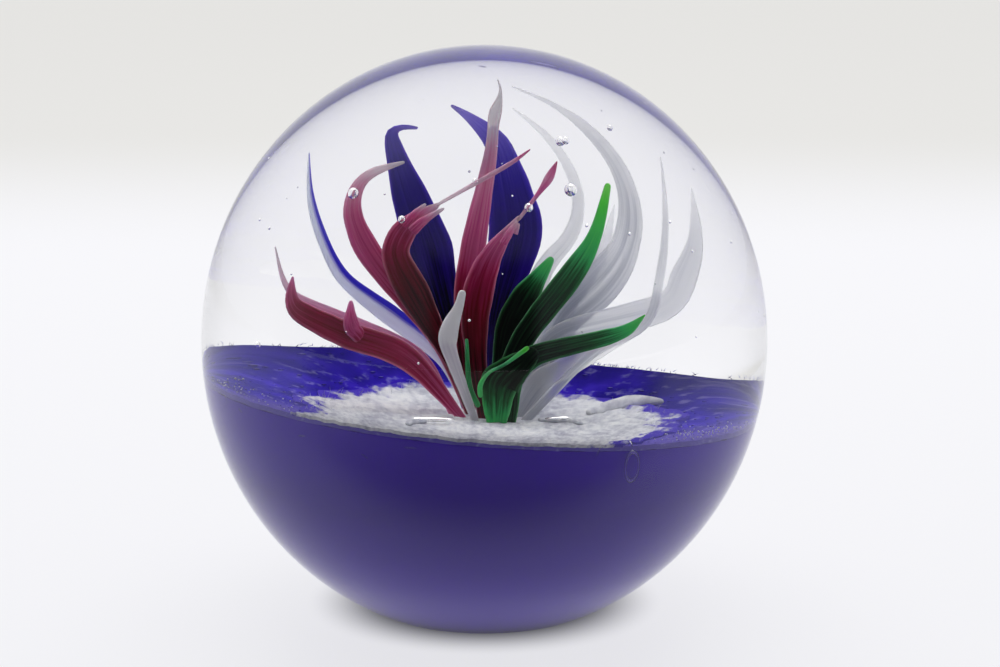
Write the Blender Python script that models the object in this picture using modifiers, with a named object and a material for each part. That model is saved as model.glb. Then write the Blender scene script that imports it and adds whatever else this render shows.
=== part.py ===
"""A solid glass paperweight: a clear casing over a cobalt body, a frit ground and a bouquet of petals.

Origin at the centre of the flat foot, +Z up, front towards -Y. Sizes are in metres.
"""

import math

import bmesh
import bpy
from mathutils import Matrix, Vector

MM = 0.001
GAP = 0.3 * MM

# Driving dimensions
BODY_RADIUS = 40.0 * MM
BODY_RISE = 41.8 * MM
CENTRE_HEIGHT = 38.2 * MM
CASING_SKIN = 2.0 * MM
GROUND_HEIGHT = 31.4 * MM
GROUND_FALL_X = -0.082
GROUND_FALL_Y = -0.048
FRIT_THICKNESS = 1.7 * MM
BED_THICKNESS = 0.8 * MM
BED_CENTRE = (0.0, -12.0 * MM)
BED_RADII = (21.0 * MM, 29.0 * MM)
ROOT_LIFT = 1.0
ROOT_SINK = 1.6 * MM

# Mesh fineness
TURN_STEPS = 48
PROFILE_RINGS = 20
PETAL_SIDES = 8
PETAL_STATIONS = 8
TIP_RADIUS = 0.15
BLOCK_SIDE = 0.2
FOOT_OVERCUT = 1.0 * MM
LAYERS_FROM = 10.0 * MM

# Glasses: the colour as linear red, green, blue and alpha, then the roughness
GLASSES = {
    "clear_crystal": ((0.95, 0.97, 0.98, 0.35), 0.02),
    "cobalt_glass": ((0.030, 0.016, 0.160, 1.0), 0.08),
    "cobalt_frit": ((0.045, 0.025, 0.350, 1.0), 0.35),
    "white_frit": ((0.660, 0.670, 0.700, 1.0), 0.55),
    "cranberry_glass": ((0.230, 0.012, 0.040, 1.0), 0.12),
    "cobalt_petal_glass": ((0.020, 0.010, 0.250, 1.0), 0.12),
    "green_glass": ((0.005, 0.140, 0.020, 1.0), 0.12),
    "opal_glass": ((0.700, 0.720, 0.740, 1.0), 0.20),
}

# Each petal: its glass, the way its broad side faces, its thickness as a share of its width,
# its root on the ground as x, y and half width, and the points of its spine from there up, as x, y, z
# and half width, all in millimetres.
PETALS = {
    "cranberry_petal_long": ("cranberry_glass", (0.2, -1.0, 0.6), 0.4, (-4.6, -8.8, 0.8), [
        (-8.7, -10.0, 38.2, 1.4), (-14.2, -11.0, 41.3, 1.5), (-19.2, -11.5, 43.4, 1.3),
        (-21.3, -11.5, 45.4, 0.9), (-21.5, -11.0, 47.6, 0.5),
    ]),
    "cranberry_tendril": ("cranberry_glass", (0.2, -1.0, 0.4), 0.5, (-7.4, -6.4, 0.6), [
        (-11.2, -6.2, 39.6, 0.7), (-16.8, -6.0, 43.4, 0.7), (-20.4, -6.0, 45.2, 0.6),
        (-21.8, -6.0, 47.0, 0.5), (-22.5, -5.5, 49.8, 0.2),
    ]),
    "cranberry_petal_hook": ("cranberry_glass", (0.1, -1.0, 0.1), 0.5, (-5.0, -4.2, 0.7), [
        (-6.2, -4.4, 40.6, 1.1), (-9.9, -4.0, 46.4, 1.3), (-13.5, -3.8, 51.4, 1.2),
        (-14.2, -3.5, 55.0, 1.0), (-12.1, -3.5, 57.8, 0.7), (-8.4, -3.5, 58.6, 0.4),
    ]),
    "cranberry_petal_folded": ("cranberry_glass", (0.1, -1.0, 0.0), 0.3, (-3.0, -6.2, 0.8), [
        (-5.4, -7.2, 39.4, 1.6), (-7.6, -7.0, 45.0, 2.1), (-8.2, -6.7, 50.0, 1.4),
        (-6.6, -6.2, 53.0, 0.8), (-4.9, -6.0, 54.6, 0.5), (-0.9, -5.5, 56.7, 0.2),
        (4.9, -4.5, 60.3, 0.2),
    ]),
    "cranberry_petal_tall": ("cranberry_glass", (0.0, -1.0, 0.0), 0.6, (-0.6, -5.8, 0.8), [
        (-1.0, -3.2, 40.2, 0.9), (-0.8, -2.0, 45.1, 1.1), (0.1, -1.0, 54.3, 1.0),
        (0.9, -1.0, 61.4, 0.7), (1.2, -1.0, 64.0, 0.7), (1.7, -1.0, 68.1, 0.2),
    ]),
    "cranberry_petal_front": ("cranberry_glass", (0.2, -1.0, 0.0), 0.35, (-1.5, -9.0, 0.8), [
        (-1.9, -9.2, 39.8, 1.3), (-0.6, -8.7, 46.2, 1.7), (2.0, -8.0, 50.7, 1.1),
        (3.6, -7.6, 52.9, 0.5), (4.8, -7.5, 54.6, 0.2), (7.6, -6.5, 59.2, 0.2),
    ]),
    "cobalt_petal_left": ("cobalt_petal_glass", (0.0, -1.0, 0.0), 0.4, (-2.2, -2.6, 0.8), [
        (-4.0, 1.0, 39.3, 1.5), (-6.3, 3.0, 47.8, 1.9), (-8.3, 4.0, 55.8, 1.2), (-8.7, 4.0, 58.8, 0.9),
        (-7.8, 4.0, 59.8, 0.5), (-6.5, 4.0, 59.5, 0.4),
    ]),
    "cobalt_petal_right": ("cobalt_petal_glass", (0.0, -1.0, 0.0), 0.35, (0.5, -2.8, 0.8), [
        (1.8, 2.2, 40.1, 1.8), (2.9, 4.0, 47.5, 2.3), (2.2, 5.0, 53.2, 2.0), (-0.3, 5.0, 58.5, 1.1),
        (-3.2, 5.0, 61.3, 0.4),
    ]),
    "cobalt_edged_petal": ("cobalt_petal_glass", (0.3, -1.0, 0.5), 0.4, (-4.6, -1.4, 0.7), [
        (-7.0, -0.6, 38.7, 1.0), (-11.0, 0.0, 42.5, 1.0), (-14.6, 1.0, 46.4, 0.8),
        (-17.1, 1.5, 52.1, 0.6), (-18.5, 1.5, 58.6, 0.2),
    ]),
    "green_petal_bright": ("green_glass", (-0.2, -1.0, 0.0), 0.45, (1.3, -8.8, 0.8), [
        (4.3, -7.0, 41.0, 1.3), (8.1, -5.5, 45.5, 1.3), (11.2, -4.5, 50.1, 1.0),
        (12.5, -4.0, 53.3, 0.7), (12.9, -4.0, 56.2, 0.3),
    ]),
    "green_petal_low": ("green_glass", (-0.1, -1.0, 0.3), 0.5, (3.2, -11.2, 0.8), [
        (5.0, -10.4, 37.4, 1.1), (8.4, -10.0, 39.5, 1.2), (13.2, -10.0, 40.6, 1.0),
        (15.6, -10.0, 41.4, 0.7), (17.0, -10.0, 42.9, 0.3),
    ]),
    "green_petal_back": ("green_glass", (0.0, -1.0, 0.0), 0.4, (2.0, -5.6, 0.7), [
        (3.4, -2.2, 38.2, 1.0), (5.4, -0.6, 42.8, 0.9), (6.8, 0.4, 46.7, 0.3),
    ]),
    "green_petal_stem": ("green_glass", (0.1, -1.0, 0.0), 0.4, (0.2, -12.0, 0.9), [
        (0.3, -12.6, 35.1, 1.2), (1.8, -13.0, 37.8, 1.2), (5.4, -13.2, 40.4, 0.3),
    ]),
    "opal_petal_front": ("opal_glass", (0.2, -1.0, 0.0), 0.5, (-2.7, -11.8, 0.7), [
        (-2.7, -12.4, 39.4, 1.0), (-3.5, -12.4, 42.7, 0.9), (-2.9, -12.3, 44.5, 0.6),
        (-2.3, -12.2, 46.2, 0.3),
    ]),
    "opal_petal_arc": ("opal_glass", (0.2, -1.0, 0.0), 0.5, (3.2, -2.4, 0.6), [
        (5.6, 2.2, 39.1, 0.7), (5.7, 3.4, 44.8, 0.7), (8.0, 3.6, 49.7, 0.8), (8.2, 3.6, 52.8, 0.7),
        (6.3, 3.5, 57.0, 0.5), (3.0, 3.0, 62.1, 0.2),
    ]),
    "opal_petal_large": ("opal_glass", (0.1, -1.0, 0.0), 0.35, (3.8, 1.0, 0.8), [
        (8.4, 5.6, 38.4, 1.8), (11.9, 7.4, 43.7, 1.6), (12.9, 8.2, 49.2, 1.1), (10.5, 8.2, 55.2, 0.9),
        (7.0, 8.2, 59.2, 0.6), (2.9, 7.2, 62.6, 0.2),
    ]),
    "opal_petal_blade": ("opal_glass", (0.2, -1.0, 0.0), 0.5, (4.4, -8.0, 0.6), [
        (11.3, -4.4, 37.0, 0.8), (15.8, -3.0, 40.9, 0.7), (17.5, -2.0, 46.0, 0.6),
        (18.9, -1.4, 53.2, 0.5), (19.0, -1.0, 59.4, 0.2),
    ]),
    "opal_petal_right": ("opal_glass", (-0.1, -1.0, 0.2), 0.35, (6.0, -1.8, 0.7), [
        (12.2, 3.0, 37.4, 1.4), (17.0, 4.0, 41.5, 1.9), (19.7, 4.5, 46.0, 1.6), (20.7, 4.5, 49.7, 1.0),
        (20.4, 4.5, 53.0, 0.3),
    ]),
    "opal_petal_low": ("opal_glass", (0.0, -1.0, 0.3), 0.4, (4.6, -4.8, 0.7), [
        (6.6, -4.4, 36.0, 1.1), (9.0, -3.2, 39.6, 1.0), (10.4, -2.4, 41.8, 0.4),
    ]),
    "opal_petal_inner": ("opal_glass", (0.0, -1.0, 0.0), 0.45, (1.6, 0.6, 0.7), [
        (5.6, 8.0, 38.6, 0.8), (9.0, 11.0, 43.4, 0.8), (11.1, 12.0, 47.2, 0.7), (11.8, 12.0, 50.7, 0.3),
    ]),
}


def clear_scene():
    for item in list(bpy.data.objects):
        bpy.data.objects.remove(item, do_unlink=True)


def new_collection(name, hidden=False):
    made = bpy.data.collections.new(name)
    made.hide_render = hidden
    bpy.context.scene.collection.children.link(made)
    return made


def glass(name):
    """A Principled material with the named glass's colour and roughness."""
    if name in bpy.data.materials:
        return bpy.data.materials[name]
    colour, roughness = GLASSES[name]
    material = bpy.data.materials.new(name)
    material.use_nodes = True
    material.diffuse_color = colour
    shader = material.node_tree.nodes["Principled BSDF"]
    shader.inputs["Base Color"].default_value = colour
    shader.inputs["Roughness"].default_value = roughness
    shader.inputs["Metallic"].default_value = 0.0
    shader.inputs["Alpha"].default_value = colour[3]
    return material


def place(item, collection, material=None, cutter=False):
    """Links an object into one collection, with its material, or marks it as a cutter."""
    for owner in list(item.users_collection):
        owner.objects.unlink(item)
    collection.objects.link(item)
    if material:
        item.data.materials.append(glass(material))
    if cutter:
        item.hide_render = True
        item.display_type = "WIRE"
    return item


def ground_at(x, y):
    return GROUND_HEIGHT + GROUND_FALL_X * x + GROUND_FALL_Y * y


def egg_profile(inset, low, high):
    """Points down the outer side of the body, moved in by inset, between two heights.

    The rings of every inset lie at the same angles, so nested skins keep an even gap.
    """
    radius = BODY_RADIUS - inset
    rise = BODY_RISE - inset
    first = math.acos(max(-1.0, min(1.0, (high - CENTRE_HEIGHT) / rise)))
    last = math.acos(max(-1.0, min(1.0, (low - CENTRE_HEIGHT) / rise)))
    angles = [math.pi * i / PROFILE_RINGS for i in range(PROFILE_RINGS + 1)]
    angles = [first] + [angle for angle in angles if first + 0.01 < angle < last - 0.01] + [last]
    points = [(radius * math.sin(angle), CENTRE_HEIGHT + rise * math.cos(angle)) for angle in angles]
    if first > 0:
        points.insert(0, (0.0, high))
    if last < math.pi:
        points.append((0.0, low))
    return points


def turned(name, profile):
    """A solid of revolution: a profile in the XZ plane, top to bottom, with a Screw modifier."""
    mesh = bpy.data.meshes.new(name)
    points = [(x, 0.0, z) for x, z in profile]
    edges = [(i, i + 1) for i in range(len(points) - 1)]
    mesh.from_pydata(points, edges, [])
    item = bpy.data.objects.new(name, mesh)
    screw = item.modifiers.new("turn", "SCREW")
    screw.steps = TURN_STEPS
    screw.render_steps = TURN_STEPS
    screw.use_merge_vertices = True
    screw.merge_threshold = 0.00001
    screw.use_smooth_shade = True
    return item


def ground_matrix(height):
    """A frame on the tilted ground plane, lifted by height, with its Z along the plane's normal."""
    normal = Vector((-GROUND_FALL_X, -GROUND_FALL_Y, 1.0)).normalized()
    turn = Vector((0.0, 0.0, 1.0)).rotation_difference(normal).to_matrix().to_4x4()
    return Matrix.Translation((0.0, 0.0, GROUND_HEIGHT + height)) @ turn


def ground_block(name, low, high):
    """A wide block between two heights over the ground plane, used as a cutter."""
    mesh = bpy.data.meshes.new(name)
    shape = bmesh.new()
    bmesh.ops.create_cube(shape, size=1.0)
    bmesh.ops.scale(shape, vec=(BLOCK_SIDE, BLOCK_SIDE, high - low), verts=shape.verts)
    bmesh.ops.translate(shape, vec=(0.0, 0.0, (high + low) / 2), verts=shape.verts)
    bmesh.ops.transform(shape, matrix=ground_matrix(0.0), verts=shape.verts)
    shape.to_mesh(mesh)
    shape.free()
    return bpy.data.objects.new(name, mesh)


def bed_drum(name, grow, low, high):
    """An oval drum on the ground plane, between two heights over it."""
    mesh = bpy.data.meshes.new(name)
    shape = bmesh.new()
    bmesh.ops.create_cone(shape, cap_ends=True, segments=TURN_STEPS, radius1=1.0, radius2=1.0, depth=1.0)
    size = (BED_RADII[0] + grow, BED_RADII[1] + grow, high - low)
    bmesh.ops.scale(shape, vec=size, verts=shape.verts)
    bmesh.ops.translate(shape, vec=(BED_CENTRE[0], BED_CENTRE[1], (high + low) / 2), verts=shape.verts)
    bmesh.ops.transform(shape, matrix=ground_matrix(0.0), verts=shape.verts)
    shape.to_mesh(mesh)
    shape.free()
    return bpy.data.objects.new(name, mesh)


def boolean(item, other, operation):
    cut = item.modifiers.new(other.name, "BOOLEAN")
    cut.operation = operation
    cut.object = other
    cut.solver = "EXACT"
    return cut


def smooth_path(points, count):
    """Stations spaced evenly in parameter along a Catmull-Rom curve through the points."""
    rows = [Vector(p) for p in points]
    rows = [2 * rows[0] - rows[1]] + rows + [2 * rows[-1] - rows[-2]]
    spans = len(points) - 1
    stations = []
    for i in range(count):
        at = spans * i / (count - 1)
        k = min(int(at), spans - 1)
        t = at - k
        a, b, c, d = rows[k:k + 4]
        curve = 2 * b + (c - a) * t + (2 * a - 5 * b + 4 * c - d) * t * t
        curve += (3 * b - a - 3 * c + d) * t * t * t
        stations.append(curve / 2)
    return stations


def petal(name, faces, thinness, spine, grow=0.0, sink=0.0):
    """A flattened, tapering loft along a spine whose points are x, y, z and half width in millimetres.

    A pocket is the same loft, grown all round by the gap, with its root sunk through the ground plane.
    """
    rows = smooth_path(spine, max(PETAL_STATIONS, len(spine)))
    centres = [Vector(row[:3]) * MM for row in rows]
    last = len(rows) - 1
    shape = bmesh.new()
    rings = []
    for i, centre in enumerate(centres):
        along = (centres[min(i + 1, last)] - centres[max(i - 1, 0)]).normalized()
        side = along.cross(Vector(faces)).normalized()
        front = side.cross(along)
        wide = max(rows[i][3], TIP_RADIUS) * MM + grow
        thick = max(rows[i][3] * thinness, TIP_RADIUS) * MM + grow
        spots = [centre]
        if i == 0 and sink:
            spots = [centre - Vector((0.0, 0.0, sink)), centre - along * grow]
        elif i == last:
            spots = [centre + along * grow]
        for spot in spots:
            ring = []
            for j in range(PETAL_SIDES):
                angle = 2 * math.pi * (j + 0.5) / PETAL_SIDES
                offset = side * wide * math.cos(angle) + front * thick * math.sin(angle)
                ring.append(shape.verts.new(spot + offset))
            rings.append(ring)
    for lower, upper in zip(rings[:-1], rings[1:]):
        for j in range(PETAL_SIDES):
            k = (j + 1) % PETAL_SIDES
            shape.faces.new((lower[j], lower[k], upper[k], upper[j]))
    shape.faces.new(rings[0])
    shape.faces.new(rings[-1])
    bmesh.ops.recalc_face_normals(shape, faces=shape.faces)
    mesh = bpy.data.meshes.new(name)
    shape.to_mesh(mesh)
    shape.free()
    mesh.shade_smooth()
    return bpy.data.objects.new(name, mesh)


def build():
    clear_scene()
    parts = new_collection("glass_paperweight")
    cutters = new_collection("cutters", hidden=True)
    body_top = CENTRE_HEIGHT + BODY_RISE
    nested = CASING_SKIN + GAP

    # Clear casing: the whole outer form, hollowed for what it encloses.
    casing = turned("clear_casing", egg_profile(0.0, 0.0, body_top))
    place(casing, parts, "clear_crystal")
    core = turned("core_cutter", egg_profile(CASING_SKIN, -FOOT_OVERCUT, CENTRE_HEIGHT))
    place(core, cutters, cutter=True)
    under_ground = ground_block("under_ground_cutter", -BLOCK_SIDE, GAP)
    place(under_ground, cutters, cutter=True)
    boolean(core, under_ground, "INTERSECT")
    boolean(casing, core, "DIFFERENCE")

    # Cobalt body: the solid lower half, its flat foot showing inside the casing's ring.
    body = turned("cobalt_body", egg_profile(nested, 0.0, CENTRE_HEIGHT))
    place(body, parts, "cobalt_glass")
    under_frit = ground_block("under_frit_cutter", -BLOCK_SIDE, -FRIT_THICKNESS - GAP)
    place(under_frit, cutters, cutter=True)
    boolean(body, under_frit, "INTERSECT")

    # Cobalt frit ground: a tilted layer on the body, recessed for the white bed.
    ground = turned("cobalt_frit_ground", egg_profile(nested, LAYERS_FROM, CENTRE_HEIGHT))
    place(ground, parts, "cobalt_frit")
    frit_layer = ground_block("frit_layer_cutter", -FRIT_THICKNESS, 0.0)
    place(frit_layer, cutters, cutter=True)
    boolean(ground, frit_layer, "INTERSECT")
    recess = bed_drum("bed_recess_cutter", GAP, -BED_THICKNESS - GAP, BED_THICKNESS)
    place(recess, cutters, cutter=True)
    boolean(ground, recess, "DIFFERENCE")

    # White frit bed: an oval layer flush with the ground, running out to the casing at the front.
    bed = bed_drum("white_frit_bed", 0.0, -BED_THICKNESS, 0.0)
    place(bed, parts, "white_frit")
    inside = turned("bed_limit_cutter", egg_profile(nested, LAYERS_FROM, CENTRE_HEIGHT))
    place(inside, cutters, cutter=True)
    boolean(bed, inside, "INTERSECT")

    # The bouquet: each petal is its own solid, in its own pocket in the casing.
    for name, (material, faces, thinness, root, path) in PETALS.items():
        x, y, half_width = root
        spine = [(x, y, ground_at(x * MM, y * MM) / MM + ROOT_LIFT, half_width)] + path
        place(petal(name, faces, thinness, spine), parts, material)
        pocket = petal(name + "_pocket", faces, thinness, spine, GAP, ROOT_SINK)
        place(pocket, cutters, cutter=True)
        boolean(casing, pocket, "DIFFERENCE")


build()
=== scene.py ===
import math
import random

import bpy
from mathutils import Matrix, Vector


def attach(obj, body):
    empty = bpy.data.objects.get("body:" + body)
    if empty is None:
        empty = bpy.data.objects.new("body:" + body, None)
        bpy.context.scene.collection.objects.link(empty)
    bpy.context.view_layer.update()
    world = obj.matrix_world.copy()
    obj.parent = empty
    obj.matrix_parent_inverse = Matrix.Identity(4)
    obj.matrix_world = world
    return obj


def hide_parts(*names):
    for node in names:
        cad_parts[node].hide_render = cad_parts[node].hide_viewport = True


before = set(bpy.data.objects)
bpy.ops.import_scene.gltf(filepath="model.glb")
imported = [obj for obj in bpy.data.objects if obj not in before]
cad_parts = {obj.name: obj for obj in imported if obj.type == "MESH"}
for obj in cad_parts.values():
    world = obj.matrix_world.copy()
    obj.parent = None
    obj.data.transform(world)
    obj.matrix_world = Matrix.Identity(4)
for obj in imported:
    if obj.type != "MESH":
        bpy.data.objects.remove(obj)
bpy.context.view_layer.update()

mm = 0.001

# The round body, which every piece inside it is placed by
body = {
    "radius": 40.0 * mm,
    "rise": 41.8 * mm,           # half height of the round form
    "centre": 38.2 * mm,         # height of its widest ring over the foot
    "skin": 2.0 * mm,            # clear glass outside the coloured core
    "groundHeight": 31.4 * mm,
    "groundFallX": -0.082,       # the ground drops to the right
    "groundFallY": -0.048,       # and a little to the back
}


def hexColour(code):
    # sRGB hex to linear
    channels = [int(code[i:i + 2], 16) / 255 for i in (0, 2, 4)]
    linear = [c / 12.92 if c <= 0.04045 else ((c + 0.055) / 1.055) ** 2.4 for c in channels]
    return (*linear, 1.0)


def addNode(tree, kind, settings=None, links=None):
    node = tree.nodes.new(kind)
    for key, value in (settings or {}).items():
        if isinstance(key, int) or key in node.inputs:
            node.inputs[key].default_value = value
        else:
            setattr(node, key, value)
    for key, source in (links or {}).items():
        tree.links.new(source, node.inputs[key])
    return node


def startMaterial(name):
    material = bpy.data.materials.new(name)
    material.use_nodes = True
    tree = material.node_tree
    return material, tree, tree.nodes["Principled BSDF"]


def readPlace(tree, kind="Object"):
    # where a point lies: the whole coordinate, and its axes
    place = addNode(tree, "ShaderNodeTexCoord").outputs[kind]
    return place, addNode(tree, "ShaderNodeSeparateXYZ", links={"Vector": place}).outputs


def setShader(shader, values):
    for key, value in values.items():
        shader.inputs[key].default_value = value


def addRamp(tree, source, stops):
    # stops: position and hex colour
    ramp = addNode(tree, "ShaderNodeValToRGB", links={"Fac": source})
    elements = ramp.color_ramp.elements
    elements[0].position, elements[0].color = stops[0][0], hexColour(stops[0][1])
    elements[1].position, elements[1].color = stops[-1][0], hexColour(stops[-1][1])
    for position, code in stops[1:-1]:
        elements.new(position).color = hexColour(code)
    return ramp


def mixColours(tree, factor, first, second):
    # first and second: a socket or a hex colour
    mix = addNode(tree, "ShaderNodeMix", {"data_type": "RGBA"})
    tree.links.new(factor, mix.inputs["Factor"])
    for slot, colour in ((6, first), (7, second)):
        if isinstance(colour, str):
            mix.inputs[slot].default_value = hexColour(colour)
        else:
            tree.links.new(colour, mix.inputs[slot])
    return mix.outputs[2]


def deselectAll():
    if bpy.context.object and bpy.context.object.mode != "OBJECT":
        bpy.ops.object.mode_set(mode="OBJECT")
    bpy.ops.object.select_all(action="DESELECT")


def activate(item):
    deselectAll()
    item.select_set(True)
    bpy.context.view_layer.objects.active = item


def editMode(select="SELECT"):
    bpy.ops.object.mode_set(mode="EDIT")
    bpy.ops.mesh.select_mode(type="VERT")
    bpy.ops.mesh.select_all(action=select)


def finishPiece(item, name, material, node):
    # names the piece, gives it its glass and lets it stand for its plain solid
    activate(item)
    bpy.ops.object.transform_apply(location=True, rotation=True, scale=True)
    item.name = name
    item.data.name = name
    item.data.materials.clear()
    item.data.materials.append(material)
    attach(item, "root")
    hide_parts(node)
    return item


def applyAll(item):
    activate(item)
    for modifier in list(item.modifiers):
        bpy.ops.object.modifier_apply(modifier=modifier.name)


def joinPieces(item, others):
    deselectAll()
    for other in others:
        other.select_set(True)
    item.select_set(True)
    bpy.context.view_layer.objects.active = item
    bpy.ops.object.join()


def groundAt(x, y):
    return body["groundHeight"] + body["groundFallX"] * x + body["groundFallY"] * y


def groundNormal():
    return Vector((-body["groundFallX"], -body["groundFallY"], 1.0)).normalized()


def addEgg(inset, segments, rings):
    # the body's round form, moved in by inset
    deselectAll()
    bpy.ops.mesh.primitive_uv_sphere_add(segments=segments, ring_count=rings, radius=1.0, location=(0, 0, 0))
    item = bpy.context.object
    editMode()
    radius = body["radius"] - inset
    bpy.ops.transform.resize(value=(radius, radius, body["rise"] - inset))
    bpy.ops.transform.translate(value=(0, 0, body["centre"]))
    bpy.ops.object.mode_set(mode="OBJECT")
    return item


def cutFlat(item, point, normal):
    # cuts away what lies on the normal's side of a plane, and closes the cut
    activate(item)
    editMode()
    bpy.ops.mesh.bisect(plane_co=point, plane_no=normal, use_fill=True, clear_outer=True)
    bpy.ops.object.mode_set(mode="OBJECT")


view = {"elevation": 12.0, "distance": 394.05 * mm, "target": (2.2 * mm, 0.0, 39.23 * mm), "lens": 100.0}


def setCamera():
    camera = bpy.data.objects.new("camera", bpy.data.cameras.new("camera"))
    bpy.context.scene.collection.objects.link(camera)
    tilt = math.radians(view["elevation"])
    back = Vector((0, -math.cos(tilt), math.sin(tilt)))
    camera.location = Vector(view["target"]) + back * view["distance"]
    camera.rotation_euler = (math.pi / 2 - tilt, 0, 0)
    camera.data.lens = view["lens"]
    camera.data.sensor_width = 36.0
    camera.data.clip_start = 0.01
    bpy.context.scene.camera = camera


studio = {
    "sky": "F2F2F4",
    "frontSky": "8C8C94",          # the tent's front side, lit less than its back
    "frontFade": (-0.35, 0.20),
    "darkSide": "343438",          # the unlit opening in it, where the camera stands
    "openingWidth": (0.30, 0.42),  # its half width and top, as direction cosines, soft at the edges
    "openingTop": (0.58, 0.70),
    "openingFrom": (-0.55, -0.35),
    "tableNear": "F3F3F6",
    "tableFalloffTone": "E0DFDB",
    "tableFalloffFade": (0.27, 0.50),     # metres behind the paperweight
    "tableShadowTone": "2A2A34",        # painted shadow: the paperweight keeps the light off the table under it
    "tableShadowFade": (0.013, 0.026),
    "glow": 0.84,                  # the table is lit from below
    "bounce": "5A5A5C",
    "softbox": {"power": 3.3, "size": 0.6, "place": (0.0, 0.22, 0.62), "aim": (0, 0, 0.045)},
}

# The card of painted shade, seen only in reflections: a wedge that opens to the front, and a round patch of
# painted shadow near the paperweight
shadeCard = {
    "tone": "18181C", "side": 2.4, "lift": 1.0 * mm,
    "wedge": 0.75, "wedgeSlope": (-4.0, -1.0), "wedgeFrom": (-0.05, -0.11),
    "patch": 0.6, "patchCentre": (0.0, -0.085), "patchReach": (0.13, 0.02), "patchFrom": (-0.035, -0.06),
}


def softStep(tree, source, ends, low=0.0, high=1.0):
    return addNode(tree, "ShaderNodeMapRange", {"interpolation_type": "SMOOTHSTEP", "From Min": ends[0],
                                                "From Max": ends[1], "To Min": low, "To Max": high},
                   {"Value": source}).outputs["Result"]


def layShadeCard():
    # a dark card in front, below the camera, which is there for the reflections alone: painted shade that
    # only the glass reflects
    deselectAll()
    bpy.ops.mesh.primitive_plane_add(size=1.0, location=(0, 0, 0))
    card = bpy.context.object
    card.name = "reflectionShadeCard"
    editMode()
    bpy.ops.transform.resize(value=(shadeCard["side"], shadeCard["side"], 1.0))
    bpy.ops.transform.translate(value=(0, -shadeCard["side"] / 2, shadeCard["lift"]))
    bpy.ops.object.mode_set(mode="OBJECT")
    # Painted shade for the reflections, thinning out towards its edges
    material, tree, shader = startMaterial("paintedReflectionShade")
    place, axes = readPlace(tree)
    ahead = axes["Y"]
    aside = addNode(tree, "ShaderNodeMath", {"operation": "ABSOLUTE"}, {0: axes["X"]})
    slope = addNode(tree, "ShaderNodeMath", {"operation": "DIVIDE"}, {0: aside.outputs["Value"], 1: ahead})
    wedge = addNode(tree, "ShaderNodeMath", {"operation": "MULTIPLY"},
                    {0: softStep(tree, slope.outputs["Value"], shadeCard["wedgeSlope"]),
                     1: softStep(tree, ahead, shadeCard["wedgeFrom"], 0.0, shadeCard["wedge"])})
    centre = (*shadeCard["patchCentre"], shadeCard["lift"])
    away = addNode(tree, "ShaderNodeVectorMath", {"operation": "DISTANCE", 1: centre}, {0: place})
    patch = addNode(tree, "ShaderNodeMath", {"operation": "MULTIPLY"},
                    {0: softStep(tree, away.outputs["Value"], shadeCard["patchReach"], 0.0, shadeCard["patch"]),
                     1: softStep(tree, ahead, shadeCard["patchFrom"])})
    cover = addNode(tree, "ShaderNodeMath", {"operation": "MAXIMUM"},
                    {0: wedge.outputs["Value"], 1: patch.outputs["Value"]})
    tree.links.new(cover.outputs["Value"], shader.inputs["Alpha"])
    setShader(shader, {"Base Color": hexColour(shadeCard["tone"]), "Roughness": 1.0, "Specular IOR Level": 0.0})
    card.data.materials.append(material)
    card.visible_camera = False
    card.visible_diffuse = False
    card.visible_shadow = False
    return card


def setStudio():
    scene = bpy.context.scene
    scene.view_settings.view_transform = "Standard"
    world = bpy.data.worlds.new("lightTent")
    scene.world = world
    world.use_nodes = True
    tree = world.node_tree
    place, axes = readPlace(tree, "Generated")
    aside = addNode(tree, "ShaderNodeMath", {"operation": "ABSOLUTE"}, {0: axes["X"]})
    beside = softStep(tree, aside.outputs["Value"], studio["openingWidth"])
    above = softStep(tree, axes["Z"], studio["openingTop"])
    behind = softStep(tree, axes["Y"], studio["openingFrom"])
    most = addNode(tree, "ShaderNodeMath", {"operation": "MAXIMUM"}, {0: beside, 1: above})
    lit = addNode(tree, "ShaderNodeMath", {"operation": "MAXIMUM"}, {0: most.outputs["Value"], 1: behind})
    back = softStep(tree, axes["Y"], studio["frontFade"])
    tent = mixColours(tree, back, studio["frontSky"], studio["sky"])
    sky = mixColours(tree, lit.outputs["Value"], studio["darkSide"], tent)
    tree.links.new(sky, tree.nodes["Background"].inputs["Color"])

    spec = studio["softbox"]
    deselectAll()
    bpy.ops.object.light_add(type="AREA", location=spec["place"])
    lamp = bpy.context.object
    lamp.name = "softbox"
    lamp.rotation_euler = (Vector(spec["aim"]) - lamp.location).to_track_quat("-Z", "Y").to_euler()
    lamp.data.energy = spec["power"]
    lamp.data.size = spec["size"]
    lamp.visible_glossy = False

    deselectAll()
    bpy.ops.mesh.primitive_circle_add(vertices=96, radius=3.0, fill_type="NGON", location=(0, 0, 0))
    table = bpy.context.object
    table.name = "paleTable"
    # Opal acrylic light table: pale and even, with a painted falloff of the light that darkens it far back
    material, floorTree, shader = startMaterial("opalAcrylicTable")
    place, axes = readPlace(floorTree)
    # painted falloff of the light, darker far behind the paperweight
    far = softStep(floorTree, axes["Y"], studio["tableFalloffFade"])
    away = addNode(floorTree, "ShaderNodeVectorMath", {"operation": "LENGTH"}, {0: place})
    # painted contact shadow on the table, darkest right under the paperweight
    lit = softStep(floorTree, away.outputs["Value"], studio["tableShadowFade"])
    tone = mixColours(floorTree, far, studio["tableNear"], studio["tableFalloffTone"])
    tone = mixColours(floorTree, lit, studio["tableShadowTone"], tone)
    floorTree.links.new(tone, shader.inputs["Emission Color"])
    setShader(shader, {"Base Color": hexColour(studio["bounce"]), "Roughness": 0.5, "Specular IOR Level": 0.1,
                       "Emission Strength": studio["glow"]})
    table.data.materials.append(material)
    layShadeCard()


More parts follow.
